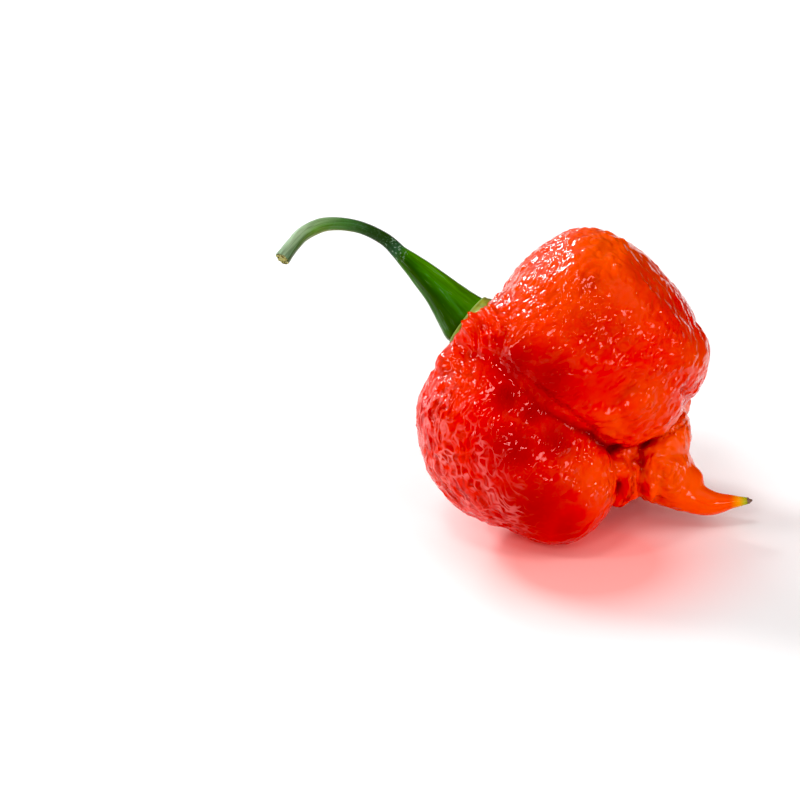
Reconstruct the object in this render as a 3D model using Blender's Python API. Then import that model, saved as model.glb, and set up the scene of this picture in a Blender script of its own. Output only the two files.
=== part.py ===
"""Carolina reaper pepper, as picked and lying on its side: pod, calyx, stem and dried style.

Metres, +Z up. The origin is on the floor under the middle of the object. The stem points to -X,
the tail of the pod to +X, and the groove between the two big lobes faces -Y.
"""

import math

import bmesh
import bpy
from mathutils import Matrix, Vector

# Sizes and places below are in millimetres, and each finished shape is scaled to metres.
MM = 0.001
# Moves every piece so that the origin is under the middle of the whole object.
CENTRING = Vector((-0.25, -1.763, 0.0))
# Neighbouring pieces keep this gap.
GAP = 0.3

# Each bulge of the pod is a rounded block: its middle, its half sizes along its own length, depth
# and height, how far its length leans down towards +X, in degrees, and how square its corners
# are, where 2 gives an ellipsoid.
BULGES = {
    "dome": ((12.2, -1.0, 28.7), (14.9, 12.8, 12.6), 46, 2.8),
    "dome_right": ((19.8, -2.0, 26.4), (8.7, 9.8, 8.0), 30, 2.0),
    "dome_lip": ((15.8, -3.8, 23.6), (10.0, 10.0, 10.0), 0, 2.0),
    "dome_front": ((6.8, -5.0, 27.0), (10.0, 9.0, 8.2), 35, 2.0),
    "dome_flank": ((8.8, -3.2, 28.2), (12.2, 12.0, 11.7), 36, 2.4),
    "dome_shoulder": ((0.8, -3.2, 29.3), (7.2, 7.6, 7.2), 40, 2.0),
    "belly": ((1.3, -7.0, 13.2), (13.4, 12.0, 11.2), 42, 2.0),
    "belly_shoulder": ((-3.0, -5.6, 17.5), (10.9, 11.4, 11.2), 46, 2.2),
    "belly_foot": ((-3.5, -6.6, 11.3), (12.0, 10.6, 7.7), 41, 2.0),
    "belly_top": ((-6.9, -4.0, 24.8), (4.3, 5.2, 4.2), 0, 2.0),
    "belly_end": ((5.3, -8.5, 9.3), (9.6, 9.6, 9.6), 0, 2.0),
    "back": ((9.0, 10.0, 14.9), (13.5, 12.5, 15.2), 0, 2.0),
    "back_end": ((14.5, 8.0, 22.0), (12.0, 11.0, 12.0), 30, 2.0),
    "back_corner": ((21.5, 5.0, 16.2), (4.6, 6.0, 5.0), 0, 2.0),
    "back_foot": ((16.5, 8.5, 5.8), (6.6, 6.0, 6.4), 0, 2.0),
    "core": ((6.0, 0.0, 20.0), (12.0, 11.0, 12.0), 43, 2.0),
    "frill": ((16.7, -3.0, 7.4), (4.4, 5.2, 5.0), 0, 2.0),
    "frill_end": ((20.8, -1.0, 12.6), (5.4, 5.4, 6.2), 0, 2.0),
    "frill_knob": ((15.1, -4.8, 11.6), (2.6, 3.2, 3.2), 0, 2.0),
}

# The tail leaves the pod's end and turns up into a thin point: places on its middle line and the
# tail's radius there.
TAIL = (
    ((18.5, 0.0, 11.6), 6.6),
    ((20.7, -1.5, 8.75), 5.6),
    ((23.2, -3.0, 6.25), 4.0),
    ((25.8, -4.0, 4.5), 2.65),
    ((28.2, -4.6, 3.75), 1.95),
    ((30.0, -4.9, 3.7), 1.45),
    ((31.65, -5.0, 4.0), 1.05),
    ((33.1, -5.0, 4.1), 0.8),
    ((34.1, -5.0, 4.1), 0.6),
)

# The pod is one skin: its balls are joined on a grid this fine, softened, and thinned to a share
# of the faces.
POD_GRID = 0.5
POD_SOFTENING = 8
POD_KEEP = 0.08
BULGE_DETAIL = 4
TAIL_DETAIL = 3

# The calyx is a cup on the end of the pod: the middle of its rim, and the way the stem leaves it.
CALYX_MIDDLE = Vector((-6.83, 0.5, 30.62))
CALYX_AXIS = Vector((-0.784, 0.367, 0.497)).normalized()
# Half a section through the calyx: distance from its axis and height along it.
CALYX_SECTION = ((3.9, -0.1), (4.3, -0.3), (4.65, -0.8), (4.8, -1.3), (4.6, -1.9), (3.0, -3.0))
CALYX_SIDES = 48
# The pod's neck fills the calyx cup up to this height.
NECK_HALF_SIZE = 6.4
NECK_TOP = -0.9
NECK_SQUARENESS = 3.0

# The stem stands this far above the calyx's rim, and its foot is this wide.
STEM_LIFT = 0.2
STEM_FOOT_RADIUS = 3.9
# Places on the middle line of the stem, from above its foot to the cut end, and its radius.
STEM = (
    ((-10.42, 2.70, 33.94), 2.60),
    ((-13.68, 4.59, 36.59), 1.80),
    ((-16.45, 5.45, 38.95), 1.18),
    ((-18.75, 6.30, 40.90), 0.96),
    ((-22.17, 7.30, 42.32), 0.88),
    ((-25.43, 7.80, 42.72), 0.95),
    ((-27.78, 7.40, 42.77), 1.02),
    ((-29.62, 6.40, 42.42), 1.06),
    ((-30.90, 5.10, 42.00), 1.04),
    ((-32.01, 3.40, 41.34), 1.00),
    ((-33.58, 1.25, 39.95), 1.05),
)
STEM_SIDES = 24

# The dried style on the tip of the tail, a short way off the tail's end.
STYLE = (
    ((34.55, -5.0, 4.1), 0.42),
    ((34.75, -5.0, 4.13), 0.34),
    ((34.95, -5.0, 4.2), 0.15),
)
STYLE_SIDES = 12

CURVE_STEPS = 5
# What is cut off the pod's underside to leave its flat resting spots.
FLOOR_SLAB = (100.0, 80.0, 20.0)
SHARP_ANGLE = math.radians(50)


def clear_scene():
    for obj in list(bpy.data.objects):
        bpy.data.objects.remove(obj, do_unlink=True)


def finish(name, colour, roughness):
    """A plain coloured surface."""
    material = bpy.data.materials.new(name)
    material.use_nodes = True
    shader = material.node_tree.nodes["Principled BSDF"]
    shader.inputs["Base Color"].default_value = (*colour, 1.0)
    shader.inputs["Roughness"].default_value = roughness
    shader.inputs["Metallic"].default_value = 0.0
    return material


def mesh_object(name, shape, material):
    """Moves a finished shape to its place, scales it to metres, and makes an object of it."""
    shape.transform(Matrix.Scale(MM, 4) @ Matrix.Translation(CENTRING))
    bmesh.ops.recalc_face_normals(shape, faces=shape.faces)
    mesh = bpy.data.meshes.new(name)
    shape.to_mesh(mesh)
    shape.free()
    mesh.materials.append(material)
    mesh.shade_smooth()
    mesh.set_sharp_from_angle(angle=SHARP_ANGLE)
    obj = bpy.data.objects.new(name, mesh)
    bpy.context.scene.collection.objects.link(obj)
    return obj


def rounded_block(shape, matrix, squareness, detail):
    """Adds a ball whose corners are pulled out by squareness, placed by matrix."""
    points = bmesh.ops.create_icosphere(shape, subdivisions=detail, radius=1.0)["verts"]
    for point in points:
        reach = sum(abs(axis) ** squareness for axis in point.co) ** (-1.0 / squareness)
        point.co = matrix @ (point.co * reach)


def bulge_matrix(middle, half_sizes, lean):
    place = Matrix.Translation(Vector(middle))
    turn = Matrix.Rotation(math.radians(lean), 4, "Y")
    return place @ turn @ Matrix.Diagonal((*half_sizes, 1.0))


def calyx_frame():
    """The calyx's own frame, with its Z axis along the stem."""
    turn = CALYX_AXIS.to_track_quat("Z", "Y").to_matrix().to_4x4()
    return Matrix.Translation(CALYX_MIDDLE) @ turn


def smooth_line(points):
    """Places and radii along a Catmull-Rom curve through the given ones."""
    rows = [(*place, radius) for place, radius in points]
    rows = [rows[0]] + rows + [rows[-1]]
    line = []
    for a, b, c, d in zip(rows, rows[1:], rows[2:], rows[3:]):
        for step in range(CURVE_STEPS):
            t = step / CURVE_STEPS
            line.append([
                0.5 * (2 * q + (r - p) * t + (2 * p - 5 * q + 4 * r - s) * t * t
                       + (3 * q - p - 3 * r + s) * t ** 3)
                for p, q, r, s in zip(a, b, c, d)
            ])
    line.append(rows[-1])
    return [(Vector(row[:3]), row[3]) for row in line]


def ways_along(line):
    """The way that a line runs at each of its points."""
    places = [place for place, radius in line]
    before = [places[0]] + places[:-1]
    after = places[1:] + [places[-1]]
    return [(end - start).normalized() for start, end in zip(before, after)]


def ring(shape, middle, along, radius, sides):
    """Adds a circle of points round a place, square to the way along."""
    turn = along.to_track_quat("Z", "Y").to_matrix()
    angles = [2 * math.pi * side / sides for side in range(sides)]
    return [
        shape.verts.new(middle + turn @ Vector((math.cos(a), math.sin(a), 0)) * radius)
        for a in angles
    ]


def skin_rings(shape, rings):
    """Closes a solid over rings of points, with a flat face on each end."""
    for low, high in zip(rings, rings[1:]):
        for side in range(len(low)):
            after = (side + 1) % len(low)
            shape.faces.new((low[side], low[after], high[after], high[side]))
    shape.faces.new(rings[0][::-1])
    shape.faces.new(rings[-1])


def tube(name, line, ways, sides, material):
    """A round solid along a line, with flat ends."""
    shape = bmesh.new()
    rings = [
        ring(shape, place, way, radius, sides)
        for (place, radius), way in zip(line, ways)
    ]
    skin_rings(shape, rings)
    return mesh_object(name, shape, material)


def pod_shape(extra):
    """All the bulges, the neck and the tail of the pod, as separate balls, grown by extra."""
    shape = bmesh.new()
    for middle, half_sizes, lean, squareness in BULGES.values():
        grown = [size + extra for size in half_sizes]
        rounded_block(shape, bulge_matrix(middle, grown, lean), squareness, BULGE_DETAIL)
    for place, radius in smooth_line(TAIL):
        ball = Matrix.Translation(place) @ Matrix.Scale(radius + extra, 4)
        rounded_block(shape, ball, 2.0, TAIL_DETAIL)
    sink = Matrix.Translation((0, 0, NECK_TOP - NECK_HALF_SIZE))
    neck = calyx_frame() @ sink @ Matrix.Scale(NECK_HALF_SIZE + extra, 4)
    rounded_block(shape, neck, NECK_SQUARENESS, BULGE_DETAIL)
    return shape


def melt(obj):
    """Runs the overlapping balls of an object into one smooth skin."""
    join = obj.modifiers.new("join", "REMESH")
    join.mode = "VOXEL"
    join.voxel_size = POD_GRID * MM
    join.use_smooth_shade = True
    soften = obj.modifiers.new("soften", "SMOOTH")
    soften.factor = 0.5
    soften.iterations = POD_SOFTENING
    thin = obj.modifiers.new("thin", "DECIMATE")
    thin.ratio = POD_KEEP


def cut(target, cutter):
    """Cuts a shape away from an object, and hides what cuts it."""
    cutter.hide_render = True
    cutter.display_type = "WIRE"
    trim = target.modifiers.new("cut", "BOOLEAN")
    trim.operation = "DIFFERENCE"
    trim.solver = "EXACT"
    trim.object = cutter


def build_pod(material):
    """The pod, with flat spots where it rests on the floor."""
    pod = mesh_object("pod", pod_shape(0.0), material)
    melt(pod)
    slab = bmesh.new()
    sink = Matrix.Translation((0, 0, -FLOOR_SLAB[2] / 2))
    bmesh.ops.create_cube(slab, size=1.0, matrix=sink @ Matrix.Diagonal((*FLOOR_SLAB, 1.0)))
    cut(pod, mesh_object("floor_cutter", slab, material))


def build_calyx(material):
    """A cup round the end of the pod, hollowed by the pod's own shape."""
    shape = bmesh.new()
    rings = [
        ring(shape, CALYX_MIDDLE + CALYX_AXIS * height, CALYX_AXIS, radius, CALYX_SIDES)
        for radius, height in CALYX_SECTION
    ]
    skin_rings(shape, rings)
    calyx = mesh_object("calyx", shape, material)
    pod_cutter = mesh_object("pod_cutter", pod_shape(GAP), material)
    melt(pod_cutter)
    cut(calyx, pod_cutter)


def build_stem(material):
    """The stem, square to the calyx at its foot."""
    foot = CALYX_MIDDLE + CALYX_AXIS * STEM_LIFT
    line = smooth_line(((foot, STEM_FOOT_RADIUS),) + STEM)
    ways = ways_along(line)
    ways[0] = CALYX_AXIS
    tube("stem", line, ways, STEM_SIDES, material)


def build_style(material):
    """The dried remnant of the flower's style."""
    line = smooth_line(STYLE)
    tube("style_remnant", line, ways_along(line), STYLE_SIDES, material)


def main():
    clear_scene()
    build_pod(finish("pod_skin", (0.62, 0.02, 0.005), 0.25))
    build_calyx(finish("calyx_green", (0.16, 0.22, 0.03), 0.5))
    build_stem(finish("stem_green", (0.02, 0.13, 0.02), 0.4))
    build_style(finish("style_brown", (0.09, 0.05, 0.03), 0.8))


main()
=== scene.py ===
import math

import bmesh
import bpy
import numpy as np
from mathutils import Matrix, Vector, noise


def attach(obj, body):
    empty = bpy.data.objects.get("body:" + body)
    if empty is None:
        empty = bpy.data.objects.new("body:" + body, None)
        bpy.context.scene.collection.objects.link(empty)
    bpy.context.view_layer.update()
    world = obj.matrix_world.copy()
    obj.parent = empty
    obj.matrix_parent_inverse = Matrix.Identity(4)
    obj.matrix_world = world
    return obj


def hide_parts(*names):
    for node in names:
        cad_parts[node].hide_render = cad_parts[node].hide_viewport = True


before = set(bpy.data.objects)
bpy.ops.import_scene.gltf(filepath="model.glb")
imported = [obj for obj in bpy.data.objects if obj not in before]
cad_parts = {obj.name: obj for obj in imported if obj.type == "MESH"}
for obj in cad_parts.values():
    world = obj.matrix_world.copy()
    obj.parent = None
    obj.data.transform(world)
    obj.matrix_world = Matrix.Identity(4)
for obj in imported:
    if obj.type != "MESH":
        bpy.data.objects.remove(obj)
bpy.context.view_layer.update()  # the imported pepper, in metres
print("frame loaded:", sorted(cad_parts))

mm = 0.001
centring = Vector((-0.25, -1.763, 0.0))  # the pepper is drawn in mm before this shift, as in the CAD

camera = {
    "elevation": 25.0,  # degrees above level
    "lens": 200.0,
    "sensor": 36.0,
    "distance": 649.8,  # mm from the aim
    "aim": (-16.6, 0.0, 18.07),  # mm, before the centring shift
    "pictureSize": 800,
    "pixelsPerMm": 6.84,  # in the picture, at the pod
}


def deselectAll():
    if bpy.context.object and bpy.context.object.mode != "OBJECT":
        bpy.ops.object.mode_set(mode="OBJECT")
    bpy.ops.object.select_all(action="DESELECT")


def pickOnly(obj):
    deselectAll()
    obj.select_set(True)
    bpy.context.view_layer.objects.active = obj


def applyModifier(obj, kind, **settings):
    pickOnly(obj)
    modifier = obj.modifiers.new(kind.lower(), kind)
    for name, value in settings.items():
        setattr(modifier, name, value)
    bpy.ops.object.modifier_apply(modifier=modifier.name)


def pickFaces(obj, flags):
    # goes into edit mode with only these faces selected
    pickOnly(obj)
    bpy.context.tool_settings.mesh_select_mode = (False, False, True)
    bpy.ops.object.mode_set(mode="EDIT")
    bpy.ops.mesh.select_all(action="DESELECT")
    bpy.ops.object.mode_set(mode="OBJECT")
    obj.data.polygons.foreach_set("select", flags)
    bpy.ops.object.mode_set(mode="EDIT")


def viewAxes():
    tilt = math.radians(camera["elevation"])
    right = np.array((1.0, 0.0, 0.0))
    up = np.array((0.0, math.sin(tilt), math.cos(tilt)))
    ahead = np.array((0.0, math.cos(tilt), -math.sin(tilt)))
    return right, up, ahead


def picturePlaces(points):
    # where each point, in mm before the shift, falls in the 800 x 800 picture, and how far it is
    right, up, ahead = viewAxes()
    stand = np.array(camera["aim"]) - ahead * camera["distance"]
    away = points - stand
    depth = away @ ahead
    pixels = camera["lens"] / camera["sensor"] * camera["pictureSize"]
    middle = camera["pictureSize"] / 2
    across = middle + pixels * (away @ right) / depth
    down = middle - pixels * (away @ up) / depth
    return np.stack((across, down), axis=1), depth


def addCamera():
    ahead = Vector(viewAxes()[2])
    aim = Vector(camera["aim"]) + centring
    place = (aim - ahead * camera["distance"]) * mm
    bpy.ops.object.camera_add(location=place, rotation=(math.radians(90 - camera["elevation"]), 0, 0))
    lookout = bpy.context.object
    lookout.data.lens = camera["lens"]
    lookout.data.sensor_width = camera["sensor"]
    lookout.data.clip_end = 10
    bpy.context.scene.camera = lookout


addCamera()
print("camera placed")

# The pod is drawn as rounded blocks: middle, half sizes, lean towards the tail in degrees, squareness
podSizes = {
    "bulges": {
        "dome": ((12.2, -1.0, 28.7), (14.9, 12.8, 12.6), 46, 2.8),
        "domeRight": ((19.8, -2.0, 26.4), (8.7, 9.8, 8.0), 30, 2.0),
        "domeLip": ((15.8, -3.8, 23.6), (10.0, 10.0, 10.0), 0, 2.0),
        "domeFront": ((6.8, -5.0, 27.0), (10.0, 9.0, 8.2), 35, 2.0),
        "domeFlank": ((8.8, -3.2, 28.2), (12.2, 12.0, 11.7), 36, 2.4),
        "domeShoulder": ((0.8, -3.2, 29.3), (7.2, 7.6, 7.2), 40, 2.0),
        "belly": ((1.3, -7.0, 13.2), (13.4, 12.0, 11.2), 42, 2.0),
        "bellyShoulder": ((-3.0, -5.6, 17.5), (10.9, 11.4, 11.2), 46, 2.2),
        "bellyFoot": ((-3.5, -6.6, 11.3), (12.0, 10.6, 7.7), 41, 2.0),
        "bellyTop": ((-6.9, -4.0, 24.8), (4.3, 5.2, 4.2), 0, 2.0),
        "bellyEnd": ((5.3, -8.5, 9.3), (9.6, 9.6, 9.6), 0, 2.0),
        "back": ((9.0, 10.0, 14.9), (13.5, 12.5, 15.2), 0, 2.0),
        "backEnd": ((14.5, 8.0, 22.0), (12.0, 11.0, 12.0), 30, 2.0),
        "backCorner": ((21.5, 5.0, 16.2), (4.6, 6.0, 5.0), 0, 2.0),
        "backFoot": ((16.5, 8.5, 5.8), (6.6, 6.0, 6.4), 0, 2.0),
        "core": ((6.0, 0.0, 20.0), (12.0, 11.0, 12.0), 43, 2.0),
        "frill": ((16.7, -3.0, 8.2), (4.4, 5.2, 4.6), 0, 2.0),
        "frillEnd": ((20.8, -1.0, 12.6), (5.4, 5.4, 6.2), 0, 2.0),
        "frillKnob": ((15.1, -4.8, 11.6), (2.6, 3.2, 3.2), 0, 2.0),
        "frillKnobFront": ((14.7, -6.6, 11.2), (2.3, 3.2, 3.2), 0, 2.0),
        "frillFoot": ((15.0, -5.4, 6.4), (2.2, 2.8, 2.6), 0, 2.0),
        "frillKnobTwo": ((16.9, -5.2, 13.0), (2.2, 2.6, 2.3), 0, 2.0),
        "frillKnobThree": ((19.6, -4.8, 11.5), (2.2, 2.6, 2.3), 0, 2.0),
        "frillKnobFour": ((16.9, -6.8, 8.6), (1.9, 2.4, 3.0), 0, 2.0),
        "frillKnobFive": ((20.3, -5.5, 7.2), (1.8, 2.4, 2.7), 0, 2.0),
        "tailShoulder": ((24.0, -2.0, 8.3), (2.8, 3.2, 2.8), 0, 2.0),
        "tailWaist": ((25.4, -3.2, 6.5), (2.6, 2.8, 2.5), 0, 2.0),
    },
    "tail": (
        ((18.5, 0.0, 11.6), 6.6),
        ((20.7, -1.5, 8.75), 5.6),
        ((23.2, -3.0, 6.25), 4.0),
        ((25.8, -4.0, 4.5), 2.65),
        ((28.2, -4.6, 3.75), 1.95),
        ((30.0, -4.9, 3.7), 1.45),
        ((31.65, -5.0, 4.0), 1.05),
        ((33.1, -5.0, 4.1), 0.8),
        ((34.1, -5.0, 4.1), 0.6),
    ),
    "grid": 0.38,  # fineness of the skin, mm
    "softening": 6,  # rounds of smoothing
    "neck": (6.4, -0.45, 3.4),  # half size, height of its top in the calyx, squareness
    "thinTail": ((23.5, 27.0), (9.0, 14.0), 0.93),  # spans along X and Z, how much smoother it is
    "tip": (31.2, 34.9),  # where the tip's own colours start and end, along X
}

calyxPlace = {
    "middle": Vector((-6.83, 0.5, 30.62)),
    "axis": Vector((-0.784, 0.367, 0.497)).normalized(),
}


def calyxFrame():
    turn = calyxPlace["axis"].to_track_quat("Z", "Y").to_matrix().to_4x4()
    return Matrix.Translation(calyxPlace["middle"]) @ turn


def smoothLine(points, steps):
    rows = [(*place, radius) for place, radius in points]
    rows = [rows[0]] + rows + [rows[-1]]
    line = []
    for a, b, c, d in zip(rows, rows[1:], rows[2:], rows[3:]):
        for step in range(steps):
            t = step / steps
            line.append([
                0.5 * (2 * q + (r - p) * t + (2 * p - 5 * q + 4 * r - s) * t * t
                       + (3 * q - p - 3 * r + s) * t ** 3)
                for p, q, r, s in zip(a, b, c, d)
            ])
    line.append(rows[-1])
    return [(Vector(row[:3]), row[3]) for row in line]


def addBlock(matrix, squareness, detail):
    bpy.ops.mesh.primitive_ico_sphere_add(subdivisions=detail, radius=1.0)
    block = bpy.context.object
    for point in block.data.vertices:
        reach = sum(abs(axis) ** squareness for axis in point.co) ** (-1.0 / squareness)
        point.co = point.co * reach
    block.matrix_world = matrix
    return block


def roughPod():
    deselectAll()
    blocks = []
    for middle, halfSizes, lean, squareness in podSizes["bulges"].values():
        turn = Matrix.Rotation(math.radians(lean), 4, "Y")
        matrix = Matrix.Translation(middle) @ turn @ Matrix.Diagonal((*halfSizes, 1.0))
        blocks.append(addBlock(matrix, squareness, 5))
    for place, radius in smoothLine(podSizes["tail"], 6):
        blocks.append(addBlock(Matrix.Translation(place) @ Matrix.Scale(radius, 4), 2.0, 4))
    halfSize, top, squareness = podSizes["neck"]
    sunk = Matrix.Translation((0, 0, top - halfSize))
    blocks.append(addBlock(calyxFrame() @ sunk @ Matrix.Scale(halfSize, 4), squareness, 5))
    deselectAll()
    for block in blocks:
        block.select_set(True)
    bpy.context.view_layer.objects.active = blocks[0]
    bpy.ops.object.join()
    pod = bpy.context.object
    pod.name = "podSkin"
    bpy.ops.object.transform_apply(location=True, rotation=True, scale=True)
    applyModifier(pod, "REMESH", mode="VOXEL", voxel_size=podSizes["grid"], adaptivity=0.0)
    applyModifier(pod, "SMOOTH", factor=0.5, iterations=podSizes["softening"])
    return pod


def readPoints(obj):
    points = np.empty(len(obj.data.vertices) * 3)
    obj.data.vertices.foreach_get("co", points)
    return points.reshape(-1, 3)


def readNormals(obj):
    normals = np.empty(len(obj.data.vertices) * 3)
    obj.data.vertices.foreach_get("normal", normals)
    return normals.reshape(-1, 3)


def writePoints(obj, points):
    obj.data.vertices.foreach_set("co", np.ascontiguousarray(points).ravel())
    obj.data.update()


def writeAttributes(obj, floats, vectors):
    for name, values in floats.items():
        layer = obj.data.attributes.new(name, "FLOAT", "POINT")
        layer.data.foreach_set("value", values.astype(np.float32))
    for name, values in vectors.items():
        layer = obj.data.attributes.new(name, "FLOAT_VECTOR", "POINT")
        layer.data.foreach_set("vector", np.ascontiguousarray(values, dtype=np.float32).ravel())


def softStep(values, low, high):
    t = np.clip((values - low) / (high - low), 0, 1)
    return t * t * (3 - 2 * t)


def grain(points, size, shift):
    # smooth noise from about -1 to 1, lumps about this size
    return np.array([noise.noise(p) for p in (points / size + shift).tolist()]) * 1.6


# Strokes are drawn over the picture, in its pixels: half width and depth in mm, + is a ridge
podStrokes = {
    "neckCollar": (((455, 339), (464, 331), (473, 318)), 0.9, 0.6),
    "bellySoftValley": (((482, 385), (474, 415), (470, 450)), 2.4, -0.4),
    "bellyBulge": (((498, 420), (510, 440)), 3.2, 0.35),
    "neckPleatOne": (((466, 322), (472, 334), (476, 348)), 0.30, 0.55),
    "neckPleatTwo": (((474, 317), (481, 330), (485, 345)), 0.30, 0.55),
    "neckPleatThree": (((482, 311), (490, 325), (493, 340)), 0.30, 0.5),
    "neckPleatFour": (((490, 305), (498, 318), (503, 332)), 0.30, 0.5),
    "lipRidge": (((594, 414), (612, 415), (630, 412), (644, 404)), 1.2, 0.9),
    "lipValley": (((600, 390), (616, 388), (634, 384)), 1.4, -0.3),
    "tailValley": (((644, 455), (641, 475), (643, 494)), 0.6, -0.5),
    "tailFold": (((664, 474), (662, 486), (660, 500)), 0.6, -0.5),
    "tailRidge": (((626, 449), (629, 470), (627, 497)), 0.9, 0.3),
    "tailPleat": (((650, 482), (651, 500)), 0.45, 0.3),
    "tailFlat": (((665, 460), (668, 466)), 1.0, 0.3),
    "tailTop": (((684, 450), (676, 454), (668, 450)), 0.7, -0.3),
    "tailRing": (((688, 464), (676, 465)), 0.35, 0.12),
    "domeDip": (((556, 290), (580, 272), (600, 262)), 2.6, -0.35),
    "domeDipTwo": (((590, 330), (620, 300)), 3.0, -0.25),
    "rightGap": (((686, 392), (690, 400), (688, 408)), 0.6, -0.6),
}

# Kinds of skin on the front: picture place, reach in pixels, strength
podPebbled = (
    ((500, 300), 32, 1.3),
    ((525, 268), 36, 1.2),
    ((560, 246), 36, 1.0),
    ((545, 300), 40, 1.0),
    ((530, 325), 26, 0.6),
    ((595, 240), 36, 1.0),
    ((590, 280), 40, 0.8),
    ((470, 335), 20, 0.3),
    ((490, 330), 24, 1.0),
    ((452, 368), 34, 1.4),
    ((440, 395), 22, 1.0),
    ((500, 418), 24, 0.5),
    ((620, 320), 60, 0.3),
)
podNetted = (
    ((430, 415), 28, 1.0),
    ((438, 455), 32, 1.0),
    ((465, 490), 32, 1.0),
    ((500, 515), 28, 0.7),
    ((470, 450), 26, 0.6),
)
podLumpy = (
    ((632, 465), 34, 1.9),
    ((668, 440), 34, 1.9),
    ((625, 400), 34, 1.5),
    ((655, 385), 40, 1.4),
    ((680, 350), 30, 0.7),
    ((500, 418), 26, 0.8),
    ((550, 460), 30, 0.9),
    ((590, 475), 24, 1.2),
    ((600, 300), 60, 0.5),
)
frillLumps = ((17.5, -3.0, 9.5), 5.5, 1.8)  # middle in mm, reach, strength

# Where the skin is smooth and a highlight stays whole
podSmooth = (
    ((520, 452), 26, 0.9),
    ((545, 515), 40, 0.9),
    ((590, 450), 16, 0.6),
    ((520, 380), 22, 0.7),
    ((540, 350), 20, 0.4),
    ((498, 370), 18, 0.9),
    ((504, 396), 18, 0.9),
    ((552, 424), 24, 0.8),
    ((612, 403), 16, 0.9),
    ((548, 460), 14, 0.9),
    ((592, 474), 14, 0.9),
    ((615, 240), 18, 0.6),
    ((645, 265), 22, 0.85),
    ((672, 300), 22, 0.85),
    ((698, 345), 20, 0.8),
)

# Painted shade: where the skin is coloured a deeper red, on the hollows and low parts that lie in shade
podPaintedShade = (
    ((546, 380), 32, 0.8),
    ((515, 365), 30, 0.85),
    ((508, 396), 20, 0.9),
    ((532, 412), 18, 0.85),
    ((530, 510), 46, 0.8),
    ((515, 450), 32, 0.8),
    ((565, 530), 26, 0.7),
    ((555, 440), 24, 0.8),
    ((590, 284), 15, 0.4),
    ((598, 332), 34, 0.3),
)

# Where the skin is more orange: partly its own colour, partly painted light on the parts that the lamps
# light most
podWarmAndLit = (
    ((602, 482), 30, 0.6),
    ((614, 428), 18, 0.7),
    ((655, 398), 30, 0.5),
    ((700, 355), 24, 0.4),
    ((610, 243), 26, 0.5),
    ((460, 375), 22, 0.3),
    ((628, 464), 20, 0.6),
)

# Where the groove between the lobes is shallow and soft: a line over the picture, reach in pixels
softCrease = (((484, 352), (497, 374), (516, 396), (530, 408)), 13)

# Each part of the pod has its own grain: pebbles lie in rings round its length, nets in rings round
# the way it faces
podGrain = {
    "dome": {
        "middle": (12.2, -1.0, 27.5),
        "radius": 13.5,
        "pebblePole": (0.69, 0.1, -0.72),
        "netPole": (0.05, -0.9, 0.42),
    },
    "belly": {
        "middle": (0.5, -7.0, 14.0),
        "radius": 12.5,
        "pebblePole": (0.74, 0.1, -0.67),
        "netPole": (0.35, -0.9, 0.3),
    },
    "back": {
        "middle": (10.0, 10.0, 16.5),
        "radius": 13.0,
        "pebblePole": (0.5, 0.3, -0.8),
        "netPole": (0.2, 0.9, 0.35),
    },
    "tail": {
        "middle": (21.0, -1.0, 8.5),
        "radius": 6.5,
        "pebblePole": (0.2, -0.9, 0.2),
        "netPole": (0.5, -0.2, -0.8),
    },
}

# Sizes and heights in mm. The shift picks a stretch of the noise. Cells rise at their middle (gap 0)
# or at their border (gap 1), over this width in cells, and the rest of them lies below the skin
skinRelief = {
    "swelling": {"size": 7.0, "shift": 3.1, "height": 0.26},
    "smallSwelling": {"size": 3.6, "shift": 11.7, "height": 0.13},
    "grain": {"size": 1.3, "shift": 31.0, "height": 0.085},
    "wander": {"size": 1.8, "shifts": (21.0, 22.7, 24.1)},
    "pebbles": {
        "size": 1.2, "shift": 0.3, "height": 0.27, "gap": 0, "width": 0.40, "below": 0.35,
        "wander": 0.3, "stretch": 1.7,
    },
    "net": {
        "size": 1.3, "shift": 7.3, "height": 0.24, "gap": 1, "width": 0.2, "below": 0.3,
        "wander": 0.5, "stretch": 4.4,
    },
    "lumps": {
        "size": 1.9, "shift": 4.9, "height": 0.26, "gap": 0, "width": 0.42, "below": 0.4,
        "wander": 0.5,
    },
}

# Folds are found by smoothing the pod: rounds, and the depths in mm at which each one starts and is full.
# The fold pinches the skin in; fold and shade also colour it darker, as painted shade
podFolds = {
    "soft": (120, 0.7),  # rounds, share of the way that the soft groove is smoothed
    "fold": (60, (0.05, 0.8)),
    "shade": (300, (0.15, 1.3)),
    "pinch": 0.45,  # mm
}

# How wrinkled the skin is outside the spots on the front: least there, least and most on the back
skinElsewhere = {
    "patches": (9.0, 5.5),  # size in mm, shift of the noise
    "pebbled": (0.12, 0.15, 0.9),
    "netted": (0.0, 0.0, 0.8),
    "lumpy": (0.4, 0.85, 0.85),
    "fineFrom": 0.42,  # from here on the skin gets smaller faces
    "partEdge": 14,  # how sharply one part's grain gives way to the next
    "partGap": 40.0,  # so that no two parts share their cells
}


def cells(points, size, shift):
    # distance to the middle of the nearest cell, and to the border with the next one, in cells
    near = np.empty((len(points), 2))
    for number, place in enumerate((points / size + shift).tolist()):
        near[number] = noise.voronoi(place)[0][:2]
    return near[:, 0], near[:, 1] - near[:, 0]


def gentleRelief(points, kind):
    relief = skinRelief[kind]
    return grain(points, relief["size"], relief["shift"]) * relief["height"]


def cellRelief(places, kind):
    relief = skinRelief[kind]
    gap = cells(places, relief["size"], relief["shift"])[relief["gap"]]
    return (np.exp(-(gap / relief["width"]) ** 2) - relief["below"]) * relief["height"]


def spotShare(picture, spots):
    share = np.zeros(len(picture))
    for place, reach, strength in spots:
        gap = np.linalg.norm(picture - np.array(place, float), axis=1)
        share = np.maximum(share, strength * np.exp(-(gap / reach) ** 2))
    return share


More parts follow.
